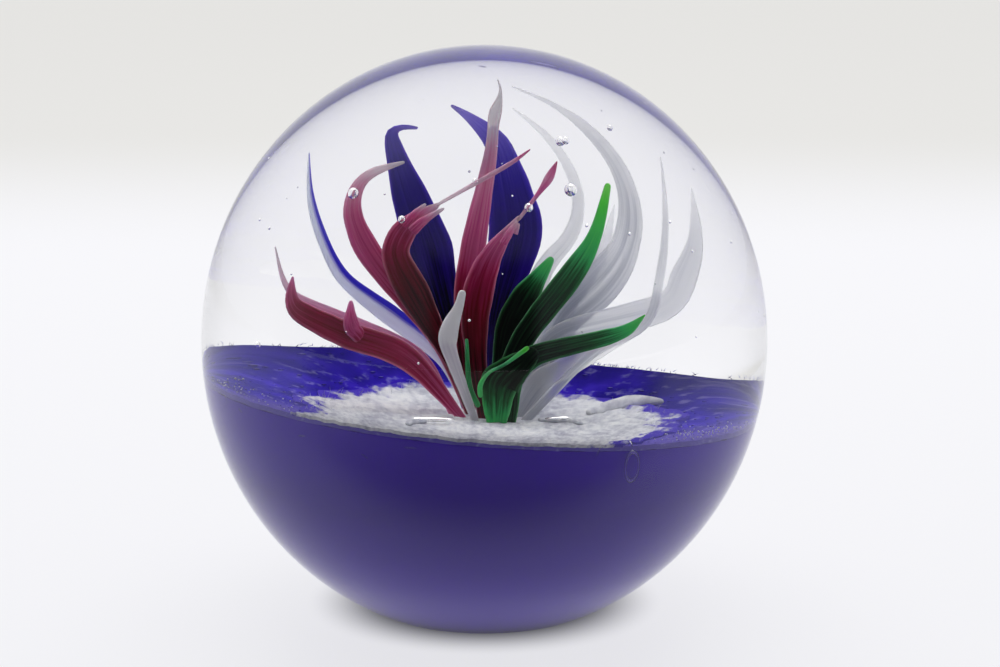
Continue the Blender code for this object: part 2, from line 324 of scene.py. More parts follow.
casing = {
    "segments": 192, "rings": 96,
    # round air bubbles: x, y, z and radius in millimetres; they are a little taller than wide
    "bubbles": [
        (-13.9, -6.0, 56.0, 0.60), (7.7, 0.0, 59.6, 0.50), (8.3, -0.4, 59.9, 0.42), (8.9, -4.0, 55.5, 0.66),
        (13.2, 0.0, 61.8, 0.36), (-0.9, -5.5, 56.9, 0.32), (4.7, -7.6, 54.6, 0.46), (-8.7, -8.6, 53.6, 0.40),
        (-22.2, 0.0, 37.9, 0.34), (-22.4, 3.0, 50.4, 0.14), (14.9, -4.0, 50.7, 0.18),
    ],
    "stretch": 1.12,
    # flattened air in the skin and over the bed: x, y, z, three half sizes and two turns in degrees
    "flatBubbles": [
        (19.1, -33.4, 31.8, 0.16, 0.10, 0.5, 30, -30),
        (-32.4, -21.8, 33.4, 0.55, 0.10, 0.10, -56, 25), (-34.6, -18.4, 34.2, 0.10, 0.10, 0.5, -56, -30),
        (14.8, -35.7, 31.1, 0.10, 0.10, 0.75, 22, 25), (-9.3, -37.3, 32.2, 0.9, 0.10, 0.12, -14, 2),
        (-15.2, -35.0, 30.5, 0.55, 0.10, 0.10, -23, 30), (-23.6, -30.6, 32.1, 0.6, 0.10, 0.10, -38, -4),
        (-5.6, -20.4, 33.6, 2.4, 0.5, 0.30, 12, 3), (7.4, -9.0, 32.0, 1.3, 0.5, 0.25, -10, -4),
        (-0.2, -6.0, 74.9, 0.5, 0.15, 0.15, 0, 20),
    ],
    # one bubble lies so flat that only its outline shows: place, half width and height, tube and turn
    "ringBubble": {"place": (19.3, -32.7, 28.5), "half": (1.05, 2.0), "tube": 0.17, "turn": 30},
    # pinhead bubbles, within a radius and between two heights
    "seeds": 46, "seedRadius": (0.07, 0.18), "seedsWithin": 25 * mm, "seedHeight": (40, 70),
}


def clearCrystal():
    # Soda-lime crystal, fire polished: clear, IOR 1.5, only the faintest unevenness of the surface
    material, tree, shader = startMaterial("firePolishedCrystal")
    setShader(shader, {"Base Color": hexColour("FFFFFF"), "Roughness": 0.0, "IOR": 1.5,
                       "Transmission Weight": 1.0})
    place = addNode(tree, "ShaderNodeTexCoord").outputs["Object"]
    waves = addNode(tree, "ShaderNodeTexNoise", {"Scale": 60.0, "Detail": 2.0}, {"Vector": place})
    bump = addNode(tree, "ShaderNodeBump", {"Strength": 0.02, "Distance": 0.2 * mm},
                   {"Height": waves.outputs["Fac"]})
    tree.links.new(bump.outputs["Normal"], shader.inputs["Normal"])
    return material


def addBubble(place, sizes, turns, segments, rings):
    # an ellipsoid facing inwards, so that it holds air; called in edit mode
    angles = (0.0, math.radians(turns[1]), math.radians(turns[0]))
    bpy.ops.mesh.primitive_uv_sphere_add(segments=segments, ring_count=rings, radius=1.0, location=place,
                                         rotation=angles, scale=sizes)
    bpy.ops.mesh.flip_normals()
    bpy.ops.mesh.faces_shade_smooth()


def startCluster():
    # an empty mesh, left in edit mode, for many small shapes
    deselectAll()
    bpy.ops.mesh.primitive_plane_add(size=mm, location=(0, 0, 0))
    item = bpy.context.object
    editMode()
    bpy.ops.mesh.delete(type="VERT")
    return item


def makeCasing():
    item = addEgg(0.0, casing["segments"], casing["rings"])
    cutFlat(item, (0, 0, 0), (0, 0, -1))
    activate(item)
    bpy.ops.object.shade_smooth_by_angle(angle=math.radians(30))
    air = startCluster()
    for x, y, z, radius in casing["bubbles"]:
        size = radius * mm
        addBubble((x * mm, y * mm, z * mm), (size, size, size * casing["stretch"]), (0, 0), 24, 14)
    for x, y, z, a, b, c, turn, lean in casing["flatBubbles"]:
        addBubble((x * mm, y * mm, z * mm), (a * mm, b * mm, c * mm), (turn, lean), 24, 14)
    ring = casing["ringBubble"]
    place = [value * mm for value in ring["place"]]
    half = ring["half"]
    bpy.ops.mesh.primitive_torus_add(major_segments=40, minor_segments=8, major_radius=half[0] * mm,
                                     minor_radius=ring["tube"] * mm, location=place,
                                     rotation=(math.pi / 2, 0, math.radians(ring["turn"])))
    bpy.ops.transform.resize(value=(1.0, 1.0, half[1] / half[0]), center_override=place)
    bpy.ops.mesh.flip_normals()
    bpy.ops.mesh.faces_shade_smooth()
    rng = random.Random(11)
    for _ in range(casing["seeds"]):
        angle = rng.uniform(0, 2 * math.pi)
        out = math.sqrt(rng.random()) * casing["seedsWithin"]
        height = rng.uniform(*casing["seedHeight"]) * mm
        size = rng.uniform(*casing["seedRadius"]) * mm
        addBubble((out * math.cos(angle), out * math.sin(angle), height), (size, size, size), (0, 0), 8, 6)
    joinPieces(item, [air])
    return finishPiece(item, "clearCasing", clearCrystal(), "clear_casing")


core = {"segments": 160, "rings": 80, "footLift": 0.3 * mm, "underFrit": 0.75 * mm}


def cobaltCore():
    # Cobalt blue glass, gathered thick: near opaque violet blue, painted paler low down where light comes
    # through
    material, tree, shader = startMaterial("gatheredCobaltGlass")
    place, axes = readPlace(tree)
    height = addNode(tree, "ShaderNodeMapRange", {"From Min": 0.0, "From Max": 32 * mm}, {"Value": axes["Z"]})
    # the gather's faint level bands, about 4 mm apart
    stretch = addNode(tree, "ShaderNodeMapping", {"Scale": (40.0, 40.0, 240.0)}, {"Vector": place})
    bands = addNode(tree, "ShaderNodeTexNoise", {"Scale": 1.0, "Detail": 3.0},
                    {"Vector": stretch.outputs["Vector"]})
    shifted = addNode(tree, "ShaderNodeMath", {"operation": "MULTIPLY_ADD", 1: 0.22},
                      {0: bands.outputs["Fac"], 2: height.outputs["Result"]})
    # painted light: paler low down, towards the foot
    ramp = addRamp(tree, shifted.outputs["Value"],
                   [(0.0, "5620D4"), (0.35, "4818BE"), (0.8, "3E13AA"), (1.0, "4517BC")])
    tree.links.new(ramp.outputs["Color"], shader.inputs["Base Color"])
    setShader(shader, {"Roughness": 0.35, "Specular IOR Level": 0.0})
    return material


def makeCore():
    item = addEgg(body["skin"], core["segments"], core["rings"])
    cutFlat(item, (0, 0, core["footLift"]), (0, 0, -1))
    cutFlat(item, (0, 0, body["groundHeight"] - core["underFrit"]), groundNormal())
    activate(item)
    bpy.ops.object.shade_smooth_by_angle(angle=math.radians(30))
    return finishPiece(item, "cobaltBody", cobaltCore(), "cobalt_body")


ground = {"rings": 44, "segments": 220, "thickness": 0.7 * mm, "lumps": 0.35 * mm, "lumpSize": 2.2 * mm,
          "trim": 0.06 * mm, "hairs": 170, "hairLength": (0.12, 0.32), "hairWidth": 0.02,
          "grains": 480, "grainRadius": (0.08, 0.25), "grainHeight": 0.3, "grainSink": 0.5,
          # the tufts of hairs at the back: middle and spread in degrees, and how many of the hairs
          "tufts": [(79.5, 3.5), (104.5, 3.0), (88, 14)], "tuftShares": [0.55, 0.27, 0.18]}
bed = {"centre": (0.0, -12.0 * mm), "rings": 40, "segments": 300, "thickness": 0.45 * mm, "lumps": 0.5 * mm,
       "lumpSize": 1.5 * mm, "lift": 0.25 * mm, "trim": -0.02 * mm, "hairs": 130, "hairLength": (0.5, 1.3),
       "hairWidth": 0.035, "grains": 240, "grainRadius": (0.05, 0.13), "grainHeight": 0.8, "grainSink": 0.0,
       # how far it reaches round its centre, frayed edge included: angle in degrees, reach in millimetres
       "reach": [(-180, 20), (-165, 21), (-152, 25), (-141, 34), (-110, 40), (-75, 40), (-56, 31), (-44, 26),
                 (-32, 22.5), (0, 20.5), (32, 22), (65, 30), (81, 30), (97, 31), (121, 22.5), (150, 20.5)],
       # the raised ridges of white, as x, y and half width
       "ridges": [[(9.6, 1.0, 0.4), (10.6, 7.5, 0.7), (12.0, 14.0, 0.8), (13.6, 15.5, 0.4)],
                  [(-9.0, -27.0, 0.3), (-8.2, -23.5, 0.5), (-6.6, -21.0, 0.3)],
                  [(5.4, -8.6, 0.3), (8.2, -7.4, 0.5), (10.0, -9.6, 0.3)]]}
grainsWithin = 36.8   # millimetres from the axis, to keep every grain inside the core


def fritNoise(tree, place, scale, detail):
    # the grains lie drawn out from front to back, five times their width
    stretch = addNode(tree, "ShaderNodeMapping", {"Scale": (1.0, 0.2, 1.0)}, {"Vector": place})
    return addNode(tree, "ShaderNodeTexNoise", {"Scale": scale, "Detail": detail},
                   {"Vector": stretch.outputs["Vector"]}).outputs["Fac"]


def cobaltFrit():
    # Fused cobalt frit: bright blue, with soft lavender streaks and grains
    material, tree, shader = startMaterial("fusedCobaltFrit")
    place, axes = readPlace(tree)
    grains = fritNoise(tree, place, 1300.0, 3.0)
    patches = fritNoise(tree, place, 420.0, 3.0)
    colour = addRamp(tree, patches, [(0.34, "1C088C"), (0.52, "280EAA"), (0.70, "3A20C4")]).outputs["Color"]
    # to the sides and the front the layer is thinner and paler
    deepest = (-6 * mm, 16 * mm, body["groundHeight"])
    away = addNode(tree, "ShaderNodeVectorMath", {"operation": "DISTANCE", 1: deepest}, {0: place})
    outer = softStep(tree, away.outputs["Value"], (25 * mm, 46 * mm), 0.0, 0.85)
    colour = mixColours(tree, outer, colour, "7264C8")
    soft = softStep(tree, grains, (0.56, 0.74), 0.0, 0.3)
    colour = mixColours(tree, soft, colour, "B4AEE4")
    # a painted glow on its thin edge at the back, standing in for the light behind it
    plan = addNode(tree, "ShaderNodeVectorMath", {"operation": "MULTIPLY", 1: (1, 1, 0)}, {0: place})
    radius = addNode(tree, "ShaderNodeVectorMath", {"operation": "LENGTH"}, {0: plan.outputs["Vector"]})
    thin = softStep(tree, radius.outputs["Value"], (36.9 * mm, 37.6 * mm), 0.0, 0.75)
    back = softStep(tree, axes["Y"], (5 * mm, 20 * mm))
    glow = addNode(tree, "ShaderNodeMath", {"operation": "MULTIPLY"}, {0: thin, 1: back})
    colour = mixColours(tree, glow.outputs["Value"], colour, "8490F6")
    # the grains that stand proud are paler: pale glass, and a painted highlight on their tops
    height = addNode(tree, "ShaderNodeVectorMath", {"operation": "DOT_PRODUCT", 1: groundNormal()},
                     {0: place})
    level = body["groundHeight"] * groundNormal().z
    paleLitTops = softStep(tree, height.outputs["Value"], (level + 0.14 * mm, level + 0.22 * mm), 0.0, 0.6)
    colour = mixColours(tree, paleLitTops, colour, "A8A0E8")
    tree.links.new(colour, shader.inputs["Base Color"])
    bump = addNode(tree, "ShaderNodeBump", {"Strength": 0.4, "Distance": 0.25 * mm}, {"Height": grains})
    tree.links.new(bump.outputs["Normal"], shader.inputs["Normal"])
    setShader(shader, {"Roughness": 0.6, "Specular IOR Level": 0.0})
    return material


def whiteFrit():
    # Fused white frit: chalky grains in clear glass, greyer in the hollows, frayed at its edge
    material, tree, shader = startMaterial("fusedWhiteFrit")
    place = addNode(tree, "ShaderNodeTexCoord").outputs["Object"]
    grains = fritNoise(tree, place, 1500.0, 4.0)
    drifts = fritNoise(tree, place, 300.0, 3.0)
    both = addNode(tree, "ShaderNodeMath", {"operation": "MULTIPLY_ADD", 1: 0.9}, {0: drifts, 2: grains})
    half = addNode(tree, "ShaderNodeMath", {"operation": "MULTIPLY", 1: 0.53}, {0: both.outputs["Value"]})
    ramp = addRamp(tree, half.outputs["Value"],
                   [(0.34, "A8A8B8"), (0.45, "C6C7D0"), (0.56, "E0E1E5"), (0.70, "F0F0F0")])
    rim = addNode(tree, "ShaderNodeAttribute", {"attribute_name": "rim"})
    fray = fritNoise(tree, place, 800.0, 5.0)
    edge = addNode(tree, "ShaderNodeMath", {"operation": "MULTIPLY_ADD", 1: 0.5},
                   {0: fray, 2: rim.outputs["Fac"]})
    worn = softStep(tree, edge.outputs["Value"], (1.10, 1.20))
    colour = mixColours(tree, worn, ramp.outputs["Color"], "4A38B8")
    tree.links.new(colour, shader.inputs["Base Color"])
    bump = addNode(tree, "ShaderNodeBump", {"Strength": 0.4, "Distance": 0.2 * mm}, {"Height": grains})
    tree.links.new(bump.outputs["Normal"], shader.inputs["Normal"])
    setShader(shader, {"Roughness": 0.7, "Specular IOR Level": 0.0})
    return material


def layDisc(name, spec, centre, lift, reach):
    # a disc of rings out to reach(angle), thickened, tilted with the ground and trimmed to the core
    deselectAll()
    bpy.ops.mesh.primitive_circle_add(vertices=spec["segments"], radius=1.0, fill_type="NOTHING",
                                      location=(0, 0, 0))
    item = bpy.context.object
    for vertex in item.data.vertices:
        vertex.co *= reach(math.atan2(vertex.co.y, vertex.co.x))
    editMode()
    for i in range(spec["rings"], 0, -1):
        bpy.ops.mesh.extrude_edges_move()
        share = (i - 1) / i if i > 1 else 0.02
        bpy.ops.transform.resize(value=(share, share, 1.0), center_override=(0, 0, 0))
    bpy.ops.mesh.edge_face_add()
    bpy.ops.mesh.select_all(action="SELECT")
    bpy.ops.mesh.normals_make_consistent(inside=False)
    bpy.ops.transform.translate(value=(centre[0], centre[1], 0))
    bpy.ops.object.mode_set(mode="OBJECT")
    if item.data.polygons[0].normal.z < 0:
        editMode()
        bpy.ops.mesh.flip_normals()
        bpy.ops.object.mode_set(mode="OBJECT")
    texture = bpy.data.textures.new(name + "Lumps", "CLOUDS")
    texture.noise_scale = spec["lumpSize"]
    texture.noise_depth = 3
    lumps = item.modifiers.new("lumps", "DISPLACE")
    lumps.texture = texture
    lumps.strength = spec["lumps"]
    lumps.mid_level = 0.5
    wall = item.modifiers.new("wall", "SOLIDIFY")
    wall.thickness = spec["thickness"]
    wall.offset = -1.0
    applyAll(item)
    turn = Vector((0, 0, 1)).rotation_difference(groundNormal()).to_matrix().to_4x4()
    item.matrix_world = Matrix.Translation((0, 0, body["groundHeight"] + lift)) @ turn
    bpy.ops.object.transform_apply(location=True, rotation=True, scale=True)
    limit = addEgg(body["skin"] + spec["trim"], 200, 100)
    trim = item.modifiers.new("trim", "BOOLEAN")
    trim.operation = "INTERSECT"
    trim.object = limit
    applyAll(item)
    bpy.data.objects.remove(limit)
    activate(item)
    bpy.ops.object.shade_smooth_by_angle(angle=math.radians(50))
    return item


def bedReach(angle):
    # the bed's edge: a smooth outline, a little wavy
    rows = bed["reach"] + [(bed["reach"][0][0] + 360, bed["reach"][0][1])]
    degrees = math.degrees(angle)
    k = max(j for j in range(len(rows) - 1) if rows[j][0] <= degrees + 1e-6)
    share = (degrees - rows[k][0]) / (rows[k + 1][0] - rows[k][0])
    share = share * share * (3 - 2 * share)
    smooth = rows[k][1] + (rows[k + 1][1] - rows[k][1]) * share
    return (smooth + 0.5 * math.sin(9 * angle + 1.0) + 0.35 * math.sin(17 * angle)) * mm


def markRim(item):
    # how near each point lies to the bed's edge, for the fraying
    marks = item.data.attributes.new("rim", "FLOAT", "POINT")
    for index, vertex in enumerate(item.data.vertices):
        x, y = vertex.co.x - bed["centre"][0], vertex.co.y - bed["centre"][1]
        marks.data[index].value = math.hypot(x, y) / bedReach(math.atan2(y, x))


def addHairs(item, spots, spec, rng):
    # fine drawn hairs of glass, leaning and half sunk, at the given places
    cluster = startCluster()
    for x, y in spots:
        length = rng.uniform(*spec["hairLength"]) * mm
        lean = (rng.uniform(-0.5, 0.5), rng.uniform(-0.3, 1.1), 0)
        bpy.ops.mesh.primitive_cone_add(vertices=3, radius1=spec["hairWidth"] * mm, radius2=0, depth=length,
                                        location=(x, y, groundAt(x, y) + 0.3 * length), rotation=lean)
    joinPieces(item, [cluster])


def addGrains(item, spots, spec, rng):
    # low grains at the given places in millimetres, sunk by a share of their height
    cluster = startCluster()
    high = spec["grainHeight"]
    for x, y in spots:
        size = rng.uniform(*spec["grainRadius"]) * mm
        if math.hypot(x, y) > grainsWithin:
            continue
        x, y = x * mm, y * mm
        z = groundAt(x, y) + high * size * (1 - spec["grainSink"]) + 0.1 * mm
        bpy.ops.mesh.primitive_ico_sphere_add(subdivisions=1, radius=size, scale=(1.0, 1.0, high),
                                              location=(x, y, z))
        bpy.ops.mesh.faces_shade_smooth()
    joinPieces(item, [cluster])


def makeGround():
    rng = random.Random(5)
    wide = body["radius"] - 1.0 * mm
    item = layDisc("ground", ground, (0, 0), 0.0, lambda angle: wide)
    spots = []
    for _ in range(ground["hairs"]):
        middle, spread = rng.choices(ground["tufts"], ground["tuftShares"])[0]
        angle = math.radians(rng.gauss(middle, spread))
        radius = body["radius"] - body["skin"] - rng.uniform(0.3, 1.4) * mm
        spots.append((radius * math.cos(angle), radius * math.sin(angle)))
    addHairs(item, spots, ground, rng)
    spots = []
    for _ in range(ground["grains"]):
        angle = rng.uniform(0, 2 * math.pi)
        out = math.sqrt(rng.uniform(0.12, 1.0)) * 36.5
        x, y = out * math.cos(angle), out * math.sin(angle)
        fromBed = Vector((x * mm - bed["centre"][0], y * mm - bed["centre"][1]))
        if fromBed.length > bedReach(math.atan2(fromBed.y, fromBed.x)) + 0.2 * mm:
            spots.append((x, y))
    addGrains(item, spots, ground, rng)
    finishPiece(item, "cobaltFritGround", cobaltFrit(), "cobalt_frit_ground")

    item = layDisc("bed", bed, bed["centre"], bed["lift"], bedReach)
    markRim(item)
    spots = []
    for i in range(bed["grains"]):
        # loose grains of white stray past the bed, more of them on the right
        centre = ((27, 5), (-14, 8)) if i % 10 < 7 else ((-27, 4), (-6, 9))
        spots.append((rng.gauss(*centre[0]), rng.gauss(*centre[1])))
    addGrains(item, spots, bed, rng)
    spots = []
    for _ in range(bed["hairs"]):
        angle = math.radians(rng.uniform(20, 205))
        out = bedReach((angle + math.pi) % (2 * math.pi) - math.pi) * rng.uniform(0.82, 0.96)
        spots.append((bed["centre"][0] + out * math.cos(angle), bed["centre"][1] + out * math.sin(angle)))
    addHairs(item, spots, bed, rng)
    for ridge in bed["ridges"]:
        rows = [(x, y, groundAt(x * mm, y * mm) / mm + 0.45, wide, 0.5) for x, y, wide in ridge]
        joinPieces(item, [drawRod(rows, (0.3, -0.2, 1.0), 0.7, 0.0, 12, 8)])
    finishPiece(item, "whiteFritBed", whiteFrit(), "white_frit_bed")


petalMesh = {"sides": 14, "stations": 24, "strandSides": 10, "strandStations": 12}

# Each petal, under its plain solid's name: its glass, the way its broad side faces, its thickness as a share
# of its width, how far it is cupped, its root on the ground as x, y, half width and paleness, and the points
# of its spine, as x, y, z, half width and paleness, in millimetres. Strands are tails and lobes pulled out.
petals = {
    "cranberry_petal_long": {
        "glass": "cranberry", "faces": (0.2, -1.0, 0.5), "thin": 0.42, "cup": 0.25,
        "root": (-1.8, -9.3, 0.4, 0.45), "path": [
            (-8.0, -10.5, 38.7, 1.4, 0.28), (-14.9, -11.4, 41.5, 1.6, 0.22),
            (-20.6, -11.5, 44.3, 1.3, 0.25), (-21.4, -11.4, 45.9, 0.9, 0.40),
            (-21.2, -11.0, 47.9, 0.2, 0.50)],
        "strands": [
            [(-13.1, -11.5, 41.2, 0.9, 0.30), (-14.2, -12.2, 42.7, 1.0, 0.45),
             (-14.3, -12.2, 45.2, 0.3, 0.55)],
        ],
    },
    "cranberry_tendril": {
        "glass": "cranberry", "faces": (0.2, -1.0, 0.4), "thin": 0.5, "cup": 0.0,
        "root": (-2.9, -7.0, 0.4, 0.50), "path": [
            (-5.4, -6.6, 37.1, 0.5, 0.55), (-8.8, -6.4, 40.0, 0.5, 0.60),
            (-18.2, -6.0, 43.7, 0.6, 0.70), (-20.8, -6.0, 45.6, 0.4, 0.75),
            (-22.5, -5.5, 50.0, 0.1, 0.90)],
    },
    "cranberry_petal_hook": {
        "glass": "cranberry", "faces": (0.1, -1.0, 0.1), "thin": 0.5, "cup": 0.15,
        "root": (-1.2, -5.0, 0.4, 0.30), "path": [
            (-4.6, -5.0, 39.3, 0.7, 0.25), (-11.4, -4.4, 48.3, 1.3, 0.45),
            (-13.5, -4.0, 52.6, 1.1, 0.50), (-13.6, -3.8, 54.5, 1.0, 0.60),
            (-13.0, -3.6, 56.3, 0.8, 0.70), (-11.6, -3.5, 57.5, 0.6, 0.85),
            (-8.4, -3.5, 58.5, 0.2, 0.90)],
    },
    "cranberry_petal_folded": {
        "glass": "cranberry", "faces": (0.1, -1.0, 0.0), "thin": 0.3, "cup": 0.35,
        "root": (-1.2, -6.4, 0.4, 0.10), "path": [
            (-3.3, -6.8, 37.5, 0.6, 0.08), (-6.7, -7.3, 44.2, 1.6, 0.06),
            (-9.1, -7.2, 48.8, 1.6, 0.20), (-9.0, -7.0, 50.6, 1.6, 0.30),
            (-7.8, -6.7, 52.4, 1.3, 0.42), (-4.8, -6.1, 54.4, 0.3, 0.80)],
        "strands": [
            [(-7.6, -7.9, 51.9, 0.7, 0.45), (-6.3, -7.9, 53.2, 0.5, 0.55),
             (-4.3, -7.2, 54.3, 0.2, 0.90)],
            [(-8.4, -7.6, 52.5, 0.5, 0.40), (-7.2, -7.3, 53.9, 0.4, 0.55),
             (-6.2, -7.0, 54.7, 0.2, 0.80)],
            [(-5.0, -6.4, 54.4, 0.2, 0.90), (2.3, -5.0, 58.5, 0.3, 0.65), (4.8, -4.4, 60.3, 0.1, 0.30)],
        ],
    },
    "cranberry_petal_tall": {
        "glass": "cranberry", "faces": (0.0, -1.0, 0.0), "thin": 0.6, "cup": 0.1,
        "root": (-1.3, -4.6, 0.5, 0.12), "path": [
            (-1.9, -3.6, 41.3, 1.1, 0.12), (-1.2, -2.2, 47.9, 1.3, 0.42), (0.6, -1.0, 58.0, 0.7, 0.70),
            (0.9, -1.0, 61.6, 0.55, 0.92), (1.1, -1.0, 63.4, 0.85, 1.00), (1.6, -1.0, 65.2, 0.35, 1.00),
            (1.9, -1.0, 66.6, 0.15, 1.00), (1.5, -1.0, 68.5, 0.1, 1.00)],
    },
    "cranberry_petal_front": {
        "glass": "cranberry", "faces": (0.2, -1.0, 0.0), "thin": 0.38, "cup": 0.25,
        "root": (-0.0, -9.2, 0.5, 0.05), "path": [
            (-0.9, -9.4, 39.9, 1.2, 0.10), (-0.8, -9.0, 44.7, 1.7, 0.20), (0.6, -8.5, 49.2, 1.3, 0.40),
            (3.6, -7.7, 53.5, 0.2, 0.75)],
        "strands": [
            [(2.0, -8.8, 50.8, 0.5, 0.50), (2.8, -8.6, 52.2, 0.4, 0.60), (3.4, -8.3, 53.1, 0.2, 0.75)],
            [(3.2, -8.2, 51.8, 0.4, 0.60), (3.6, -7.9, 52.7, 0.2, 0.70)],
            [(3.5, -7.8, 53.1, 0.2, 0.80), (5.9, -7.0, 56.3, 0.3, 0.50), (6.9, -6.7, 57.8, 0.6, 0.62),
             (7.8, -6.4, 59.7, 0.1, 0.35)],
        ],
    },
    "cobalt_petal_left": {
        "glass": "cobalt", "faces": (0.0, -1.0, 0.0), "thin": 0.3, "cup": 0.25,
        "root": (-1.4, -2.4, 0.5, 0.05), "path": [
            (-3.5, 0.2, 40.3, 1.3, 0.00), (-5.1, 2.3, 46.1, 2.4, 0.12), (-5.6, 2.8, 48.1, 2.4, 0.15),
            (-8.0, 4.0, 54.9, 1.3, 0.25), (-9.1, 4.0, 58.8, 0.7, 0.35), (-8.6, 4.0, 59.6, 0.5, 0.45),
            (-6.6, 4.0, 59.3, 0.2, 0.60)],
    },
    "cobalt_petal_right": {
        "glass": "cobalt", "faces": (0.0, -1.0, 0.0), "thin": 0.28, "cup": 0.25,
        "root": (0.4, -2.6, 0.5, 0.00), "path": [
            (0.9, 0.8, 39.3, 0.9, 0.00), (2.6, 3.7, 46.6, 2.5, 0.15), (2.9, 4.4, 49.2, 2.6, 0.20),
            (1.5, 5.0, 56.3, 1.4, 0.50), (0.4, 5.0, 58.2, 1.0, 0.60), (-2.0, 5.0, 60.5, 0.4, 0.75),
            (-3.1, 5.0, 61.3, 0.2, 0.60)],
    },
    "cobalt_edged_petal": {
        "glass": "edged", "faces": (0.3, -1.0, 0.3), "thin": 0.5, "cup": 0.15,
        "root": (-1.0, -2.0, 0.4, 0.30), "path": [
            (-4.0, -1.2, 37.0, 0.8, 0.32), (-8.4, -0.4, 40.6, 1.1, 0.45),
            (-12.8, 0.4, 43.9, 0.8, 0.60), (-14.6, 0.8, 46.2, 0.7, 0.65),
            (-16.9, 1.5, 51.8, 0.5, 0.75), (-18.2, 1.5, 58.4, 0.1, 1.00)],
    },
    "green_petal_bright": {
        "glass": "green", "faces": (-0.2, -1.0, 0.0), "thin": 0.45, "cup": 0.15,
        "root": (1.4, -8.8, 0.7, 0.10), "path": [
            (3.3, -7.9, 39.1, 1.2, 0.05), (8.9, -5.4, 46.6, 1.3, 0.30), (11.3, -4.4, 50.6, 0.8, 0.60),
            (12.9, -4.0, 56.1, 0.4, 1.00)],
    },
    "green_petal_low": {
        "glass": "green", "faces": (-0.1, -1.0, 0.3), "thin": 0.5, "cup": 0.2,
        "root": (2.5, -11.4, 0.8, 0.20), "path": [
            (2.9, -11.2, 36.9, 1.3, 0.15), (4.4, -10.9, 38.5, 1.3, 0.10),
            (6.3, -10.6, 39.4, 1.2, 0.12), (14.3, -10.0, 41.3, 0.8, 0.40),
            (17.1, -10.0, 43.3, 0.1, 0.80)],
    },
    "green_petal_back": {
        "glass": "green", "faces": (0.0, -1.0, 0.0), "thin": 0.4, "cup": 0.2,
        "root": (1.5, -4.6, 0.7, 0.05), "path": [
            (2.1, -3.0, 38.6, 1.3, 0.00), (3.6, -1.4, 42.5, 1.5, 0.05), (6.3, 0.8, 46.4, 0.4, 0.60)],
        "strands": [
            [(-0.5, -11.0, 33.5, 0.3, 0.50), (-1.5, -11.2, 36.0, 0.3, 0.35),
             (-1.8, -11.0, 40.8, 0.2, 0.40)],
        ],
    },
    "green_petal_stem": {
        "glass": "green", "faces": (0.1, -1.0, 0.0), "thin": 0.4, "cup": 0.3,
        "root": (1.3, -12.8, 1.0, 0.55), "path": [
            (1.5, -13.2, 35.8, 1.9, 0.22), (2.1, -13.3, 37.1, 2.2, 0.12),
            (5.0, -13.0, 39.6, 1.0, 0.05)],
        "strands": [
            [(-0.3, -14.4, 35.1, 0.3, 0.60), (-0.4, -14.9, 36.6, 0.3, 0.55),
             (0.6, -15.0, 38.1, 0.2, 0.50), (2.1, -14.9, 38.8, 0.2, 0.35),
             (4.6, -14.5, 40.6, 0.3, 0.90)],
        ],
    },
    "opal_petal_front": {
        "glass": "denseOpal", "faces": (0.2, -1.0, 0.5), "thin": 0.5, "cup": 0.1,
        "root": (-0.7, -12.0, 0.4, 0.30), "path": [
            (-3.5, -12.5, 39.6, 0.8, 0.40), (-3.8, -12.5, 41.3, 1.1, 0.65), (-3.4, -12.4, 43.0, 0.95, 0.85),
            (-2.7, -12.3, 44.6, 0.55, 0.95), (-2.3, -12.2, 46.2, 0.45, 0.95)],
    },
    "opal_petal_arc": {
        "glass": "opal", "faces": (0.2, -1.0, 0.0), "thin": 0.45, "cup": 0.2,
        "root": (3.4, -2.2, 0.6, 0.30), "path": [
            (4.5, 1.6, 41.6, 1.0, 0.40), (5.7, 2.6, 45.4, 1.0, 0.50), (8.0, 3.2, 48.0, 0.8, 0.60),
            (8.9, 3.5, 51.4, 0.6, 0.65), (8.1, 3.5, 55.1, 0.5, 0.75), (6.1, 3.4, 58.6, 0.4, 0.80),
            (2.9, 3.0, 62.0, 0.1, 0.90)],
    },
    "opal_petal_large": {
        "glass": "opal", "faces": (0.1, -1.0, 0.0), "thin": 0.35, "cup": 0.3,
        "root": (4.2, 0.8, 0.8, 0.30), "path": [
            (6.7, 4.2, 39.1, 1.7, 0.30), (10.0, 6.0, 42.2, 2.2, 0.40), (12.4, 7.3, 45.4, 1.5, 0.50),
            (13.1, 8.0, 49.2, 1.1, 0.50), (12.2, 8.2, 53.3, 0.8, 0.55), (9.7, 8.2, 57.1, 0.6, 0.60),
            (6.5, 8.0, 60.0, 0.3, 0.70), (2.7, 7.2, 62.5, 0.1, 0.80)],
    },
    "opal_petal_blade": {
        "glass": "opal", "faces": (0.2, -1.0, 0.0), "thin": 0.5, "cup": 0.1,
        "root": (3.6, -7.6, 0.5, 0.40), "path": [
            (10.6, -5.2, 38.0, 0.5, 0.50), (16.0, -3.2, 40.7, 0.5, 0.55),
            (17.5, -2.4, 45.2, 0.5, 0.60), (18.4, -1.6, 50.5, 0.4, 0.60),
            (19.0, -1.0, 59.2, 0.1, 0.80)],
    },
    "opal_petal_right": {
        "glass": "opal", "faces": (-0.1, -1.0, 0.2), "thin": 0.38, "cup": 0.3,
        "root": (4.3, -1.6, 0.7, 0.30), "path": [
            (5.2, 0.0, 36.3, 0.9, 0.30), (7.5, 1.2, 38.9, 1.2, 0.40), (16.7, 3.7, 40.9, 1.4, 0.60),
            (18.7, 4.2, 43.9, 1.4, 0.60), (20.1, 4.5, 47.5, 0.9, 0.60), (20.4, 4.5, 53.2, 0.1, 0.90)],
    },
    "opal_petal_low": {
        "glass": "opal", "faces": (0.0, -1.0, 0.3), "thin": 0.4, "cup": 0.2,
        "root": (2.8, -5.0, 0.6, 0.40), "path": [
            (5.2, -4.3, 34.8, 1.2, 0.55), (7.0, -3.8, 35.9, 1.2, 0.65), (15.4, -2.2, 40.0, 0.3, 0.90)],
    },
    "opal_petal_inner": {
